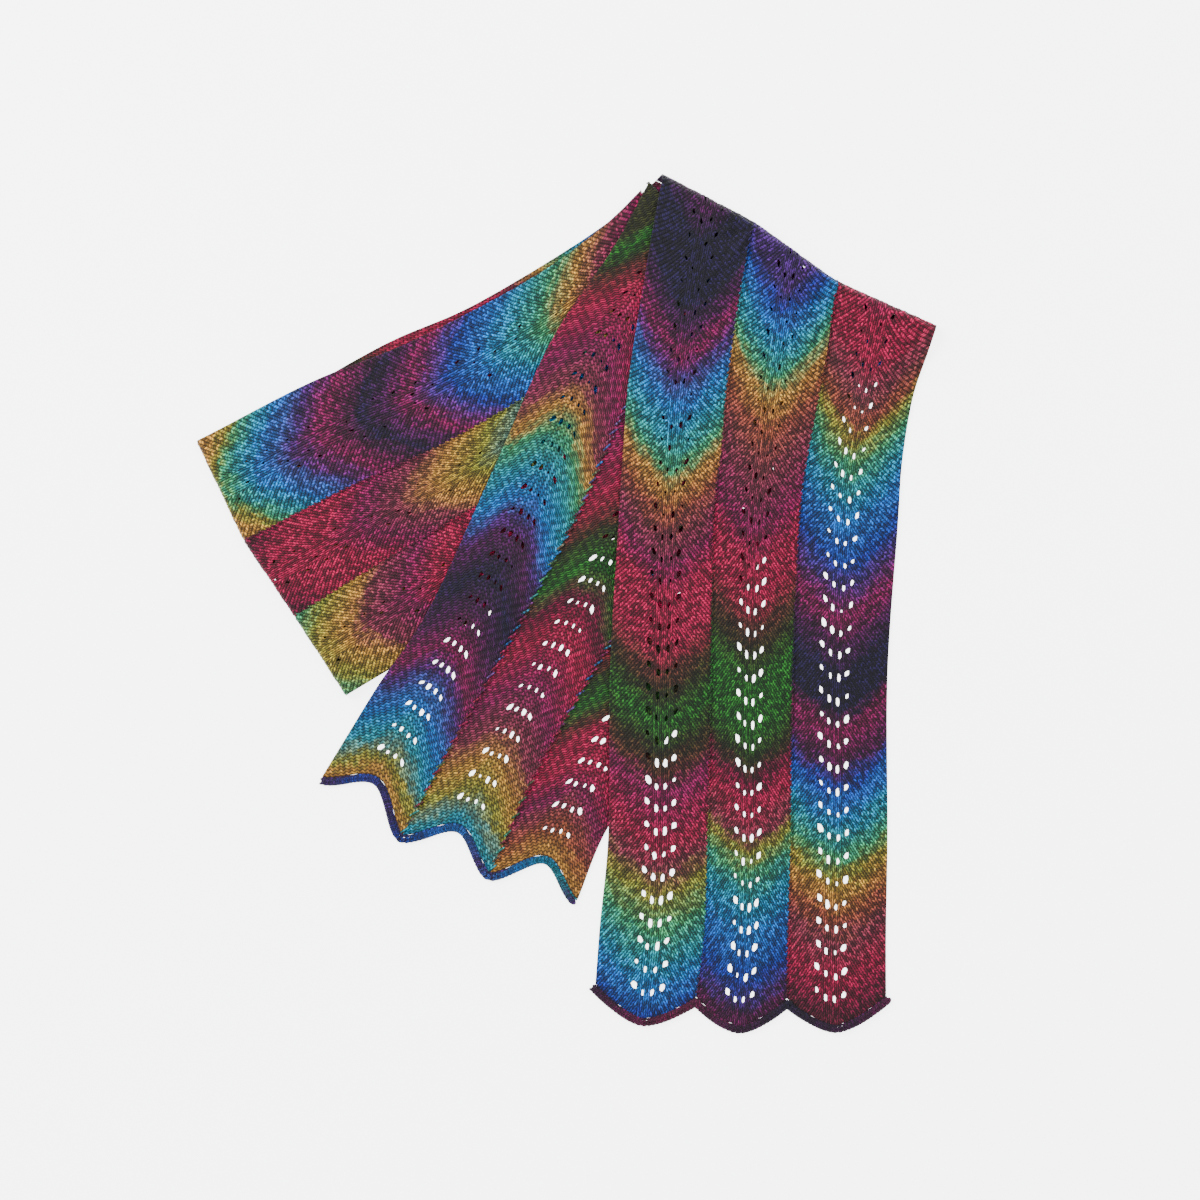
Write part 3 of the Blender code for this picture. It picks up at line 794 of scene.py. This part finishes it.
def whip_stitches(name: str, limb: Limb, seam: int, node: str, length: float, sewn: Sewn) -> bpy.types.Object:
    """Slanted sewing stitches across one seam."""
    heights = Heights(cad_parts[node])
    curve, run, _ = limb.column(seam - 1e-4)
    paths, rows = [], []
    number = 0
    s = 4.0
    while s < length:
        spot = np.array([np.interp(s, run, curve[:, k]) for k in (0, 1)])
        ahead = np.array([np.interp(s + 2, run, curve[:, k]) for k in (0, 1)])
        way = (ahead - spot) / np.linalg.norm(ahead - spot)
        side = np.array([way[1], -way[0]])
        z = float(heights.at((spot + SHIFT)[None, :])[0])
        pts = []
        reach = sewn.reach + 0.7 * float(noise(number, 1, 2))
        for t in np.linspace(-1, 1, 6):
            at = spot + SHIFT + side * reach * t + way * sewn.along * t
            pts.append((at[0], at[1], z + 0.15 + (sewn.radius + 0.1) * math.cos(t * math.pi / 2)))
        paths.append(pts)
        rows.append((s + (60 if number % 2 and sewn.reach > 1 else 0)) / ROW)
        s += sewn.step + 1.2 * float(noise(number, 4, 6))
        number += 1
    return strands(name, paths, [sewn.radius] * len(paths), rows)


FINISHES = {
    "front_strip_left": yarn("front_left", Face.KNIT, (
        "-20 purple, 0 cobalt, 17 blue, 40 teal, 62 seafoam, 84 olive, 104 rose, 122 crimson, "
        "158 magenta, 172 brown, 188 moss, 208 green, 228 moss, 243 brown, 264 crimson, 300 crimson, "
        "318 magenta, 340 rose, 358 copper, 378 gold, 392 seafoam, 410 teal, 438 blue, 457 violet, "
        "474 magenta, 490 purple, 510 navy, 556 navy, 580 purple, 620 purple")),
    "front_strip_middle": yarn("front_middle", Face.KNIT, (
        "-20 magenta, 8 purple, 30 cobalt, 60 blue, 90 teal, 106 seafoam, 120 olive, 131 rose, "
        "152 crimson, 172 maroon, 184 moss, 206 green, 238 green, 262 moss, 280 brown, 302 crimson, "
        "326 crimson, 352 magenta, 392 rose, 424 copper, 446 gold, 462 seafoam, 477 teal, 498 blue, "
        "512 cobalt, 530 violet, 575 violet, 620 magenta")),
    "front_strip_right": yarn("front_right", Face.KNIT, (
        "-20 brown, 6 maroon, 32 crimson, 56 rose, 74 copper, 91 gold, 104 olive, 116 seafoam, "
        "132 teal, 150 blue, 166 cobalt, 180 purple, 204 magenta, 220 navy, 248 navy, 268 purple, "
        "288 magenta, 308 violet, 326 cobalt, 355 blue, 380 teal, 398 seafoam, 414 olive, "
        "427 copper, 450 rose, 474 crimson, 500 crimson, 540 magenta, 600 rose")),
    "back_strip_left": yarn("back_left", Face.PURL, (
        "-12 brown, 2 gold, 14 olive, 30 teal, 54 blue, 78 violet, 94 magenta, 122 purple, 150 navy, "
        "178 purple, 192 violet, 206 blue, 236 teal, 256 seafoam, 272 gold, 290 rose, 318 magenta, "
        "360 crimson, 394 moss, 410 green, 425 moss, 440 moss")),
    "back_strip_middle": yarn("back_middle", Face.PURL, (
        "-12 blue, 4 teal, 24 olive, 46 gold, 68 rose, 100 magenta, 138 crimson, 168 maroon, "
        "190 green, 222 moss, 256 crimson, 320 magenta, 370 violet, 440 blue")),
    "back_strip_right": yarn("back_right", Face.PURL, (
        "-15 rose, 0 gold, 20 copper, 44 magenta, 66 crimson, 92 crimson, 106 brown, 124 green, "
        "150 moss, 185 crimson, 250 crimson, 310 rose, 360 gold, 440 teal")),
    "side_strip_upper": yarn("side_upper", Face.KNIT, (
        "-20 gold, 14 gold, 26 olive, 34 seafoam, 46 teal, 64 blue, 88 violet, 110 magenta, "
        "142 navy, 160 purple, 178 magenta, 206 cobalt, 232 blue, 258 teal, 280 seafoam, 300 gold, "
        "322 rose, 345 magenta, 372 crimson, 420 crimson")),
    "side_strip_middle": yarn("side_middle", Face.KNIT, (
        "-20 crimson, 10 maroon, 40 crimson, 76 crimson, 106 magenta, 136 rose, 166 gold, 198 olive, "
        "236 teal, 280 blue, 340 violet, 420 magenta")),
    "side_strip_lower": yarn("side_lower", Face.KNIT, (
        "-20 teal, 4 seafoam, 24 olive, 54 gold, 70 rose, 104 magenta, 126 crimson, 240 crimson, "
        "330 navy, 420 blue")),
}
UNDER_YARN = yarn("under", Face.PURL, (
    "0 rose, 12 magenta, 26 violet, 44 blue, 66 blue, 92 seafoam, 110 gold, 128 rose, 144 crimson, "
    "220 crimson, 246 moss, 286 magenta, 326 crimson, 350 gold, 420 olive"))
FRONT_HEM = yarn("front_hem", Face.PURL, "0 purple, 60 magenta, 110 purple, 150 navy, 200 purple, 260 magenta")
BACK_HEM = yarn("back_hem", Face.PURL, (
    "0 violet, 18 cobalt, 60 violet, 80 cobalt, 120 blue, 150 violet, 170 blue, 215 teal, 235 violet"))
SEWING = yarn("sewing", Face.PURL, (
    "0 teal, 40 seafoam, 80 rose, 120 crimson, 170 magenta, 215 blue, 260 seafoam, 300 rose, "
    "350 blue, 400 crimson, 470 magenta"))
CENTRES = {"front": (0.52, 0.48, 0.44), "back": (0.50, 0.50, 0.50), "side": (0.50, 0.50, 0.50)}
EYE_SIZES = {"front": 0.8, "back": 0.78, "side": 0.42}
DRIFTS = {"front": DRIFT, "back": -DRIFT, "side": DRIFT}
SIDES = {"front": ("left", "middle", "right"), "back": ("left", "middle", "right"),
         "side": ("upper", "middle", "lower")}


class UnderLimb:
    """The hidden limb: a plain lattice on its solid."""

    node = "under_limb"

    def build(self) -> bpy.types.Object:
        """Lay a lattice of rows and wales along the limb's table between its two folds; the solid's points are
        only counted.
        """
        limb = Limb(UNDER)
        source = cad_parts[self.node]
        mesh = source.data
        co = np.zeros(len(mesh.vertices) * 3)
        mesh.vertices.foreach_get("co", co)
        low = co.reshape(-1, 3)
        columns, rows = 139, 150
        edge = [limb.column(min(u, 2.9999)) for u in np.linspace(0, 3, columns)]
        points = np.zeros((columns, rows + 1, 3))
        lattice = np.zeros((columns, rows + 1, 2))
        turn_out = Limb(FRONT, FoldShape((5.6, 4.7), 0.0))
        turn_in = Limb(SIDE, FoldShape((3.4, 3.4), 0.0), 0)
        for i, u in enumerate(np.linspace(0, 3, columns)):
            curve, length, _ = edge[i]
            start, normal, tangent, slant, radius = turn_out.turn_frame(min(u, 2.9999))
            first = start + tangent * slant * (radius - 1) * math.pi - normal * GAP
            start, normal, tangent, slant, radius = turn_in.turn_frame(min(u, 2.9999))
            last = start + tangent * slant * (radius - 1) * math.pi - normal * GAP
            t = np.linspace(0, 1, rows + 1)
            s0 = length[np.argmin(np.linalg.norm(curve - first, axis=1))]
            s1 = length[np.argmin(np.linalg.norm(curve - last, axis=1))]
            s = s0 + (s1 - s0) * t
            xy = np.stack([np.interp(s, length, curve[:, k]) for k in (0, 1)], axis=1)
            xy += np.outer(1 - t, first - xy[0]) + np.outer(t, last - xy[-1])
            points[i, :, :2] = xy + SHIFT
            lattice[i, :, 0] = u * WALES
            lattice[i, :, 1] = s / ROW
        relief = stitch_relief(Face.PURL, lattice[..., 0], lattice[..., 1])
        top, under = points.copy(), points.copy()
        top[..., 2] = 1.25 + 0.6 * relief
        under[..., 2] = 0.1 + 0.2 * (1 - relief)
        index = np.arange(columns * (rows + 1)).reshape(columns, rows + 1)
        corners = [index[:-1, :-1], index[1:, :-1], index[1:, 1:], index[:-1, 1:]]
        flat = np.stack(corners, axis=-1).reshape(-1, 4)
        sample = top.reshape(-1, 3)[flat[0]]
        if np.cross(sample[1] - sample[0], sample[2] - sample[0])[2] < 0:
            flat = flat[:, ::-1]
        count = columns * (rows + 1)
        half = np.concatenate([flat[:, [0, 1]], flat[:, [1, 2]], flat[:, [2, 3]], flat[:, [3, 0]]])
        border = half[~np.isin(half[:, 0] * count + half[:, 1], half[:, 1] * count + half[:, 0])]
        walls = np.stack([border[:, 1], border[:, 0], border[:, 0] + count, border[:, 1] + count], axis=1)
        faces = np.concatenate([flat, flat[:, ::-1] + count, walls])
        verts = np.concatenate([top.reshape(-1, 3), under.reshape(-1, 3)]) * MM
        grid = lattice.reshape(-1, 2)
        log.info("under limb from %d solid points", len(low))
        return make_mesh(self.node + "_stitches", verts, faces, np.concatenate([grid, grid]))


class Studio:
    """Floor, lights and camera."""

    def floor(self) -> None:
        """Lay a pale seamless floor."""
        bpy.ops.object.select_all(action="DESELECT")
        bpy.ops.mesh.primitive_plane_add(size=6.0, location=(0, 0, -0.0002))
        floor = bpy.context.object
        floor.name = "seamless_floor"
        material = bpy.data.materials.new("paper_white")
        material.use_nodes = True
        shader = material.node_tree.nodes["Principled BSDF"]
        shader.inputs["Base Color"].default_value = (0.90, 0.90, 0.905, 1)
        shader.inputs["Roughness"].default_value = 0.95
        shader.inputs["Specular IOR Level"].default_value = 0.1
        shader.inputs["Emission Color"].default_value = (1.0, 1.0, 1.0, 1)
        shader.inputs["Emission Strength"].default_value = 4.0
        floor.data.materials.append(material)

    def lights(self) -> None:
        """Soft daylight from above with a broad lamp from the upper left."""
        world = bpy.context.scene.world or bpy.data.worlds.new("studio")
        bpy.context.scene.world = world
        world.use_nodes = True
        sky = world.node_tree.nodes.get("Background")
        sky.inputs["Color"].default_value = (0.96, 0.98, 1.0, 1)
        sky.inputs["Strength"].default_value = 1.42
        for name, place, size, power in (
            ("window", (-1.3, 1.0, 1.5), 1.2, 76.0), ("fill", (1.2, 0.6, 2.0), 1.8, 30.0),
        ):
            lamp = bpy.data.lights.new(name, "AREA")
            lamp.size = size
            lamp.energy = power
            obj = bpy.data.objects.new(name, lamp)
            obj.location = place
            obj.rotation_euler = (-Vector(place)).to_track_quat("-Z", "Y").to_euler()
            bpy.context.scene.collection.objects.link(obj)

    def camera(self) -> None:
        """Look straight down, as the photograph does."""
        lens = bpy.data.cameras.new("overhead")
        height = 1.9
        lens.sensor_width = 36.0
        lens.lens = 36.0 * height / 0.822
        eye = bpy.data.objects.new("overhead", lens)
        eye.location = (0.0231, 0.0025, height)
        eye.rotation_euler = (0, 0, 0)
        bpy.context.scene.collection.objects.link(eye)
        bpy.context.scene.camera = eye


def main() -> None:
    """Build the scarf's pieces and the studio."""
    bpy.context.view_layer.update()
    shop = YarnShop()
    limbs = {
        "front": Limb(FRONT, FoldShape((5.6, 4.7), 0.0)),
        "back": Limb(BACK, FoldShape((3.0, 3.0), FOLD_BASE), lobed=True),
        "side": Limb(SIDE, FoldShape((3.4, 3.4), 0.0), 0),
    }
    sewing = shop.make(SEWING)
    for name, limb in limbs.items():
        for index, side in enumerate(SIDES[name]):
            node = f"{name}_strip_{side}"
            plan = StripPlan(
                node, name, index, FINISHES[node], CENTRES[name][index], EYE_SIZES[name], DRIFTS[name],
            )
            piece = StripBuilder(plan, limb).build()
            piece.data.materials.append(shop.make(plan.finish, plan.centre, plan.drift))
            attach(piece, "root")
            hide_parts(node)
            if index:
                reach = SEAM_LENGTH[name] - 20 * index
                seam = whip_stitches(f"{name}_seam_{index}", limb, index, node, reach, SEWN[name])
                seam.data.materials.append(sewing if name == "back" else shop.make(plan.finish))
                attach(seam, "root")
            log.info("%s: %d faces", node, len(piece.data.polygons))
    under = UnderLimb().build()
    under.data.materials.append(shop.make(UNDER_YARN))
    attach(under, "root")
    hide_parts("under_limb")
    for node, name, sign, finish in (
        ("front_hem_edging", "front", 1, FRONT_HEM), ("back_hem_edging", "back", 1, BACK_HEM),
    ):
        hem = HemEdging(node, limbs[name], sign).build()
        hem.data.materials.append(shop.make(finish))
        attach(hem, "root")
        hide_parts(node)
    studio = Studio()
    studio.floor()
    studio.lights()
    studio.camera()


if __name__ == "__main__":
    logging.basicConfig(level=logging.INFO)
    main()
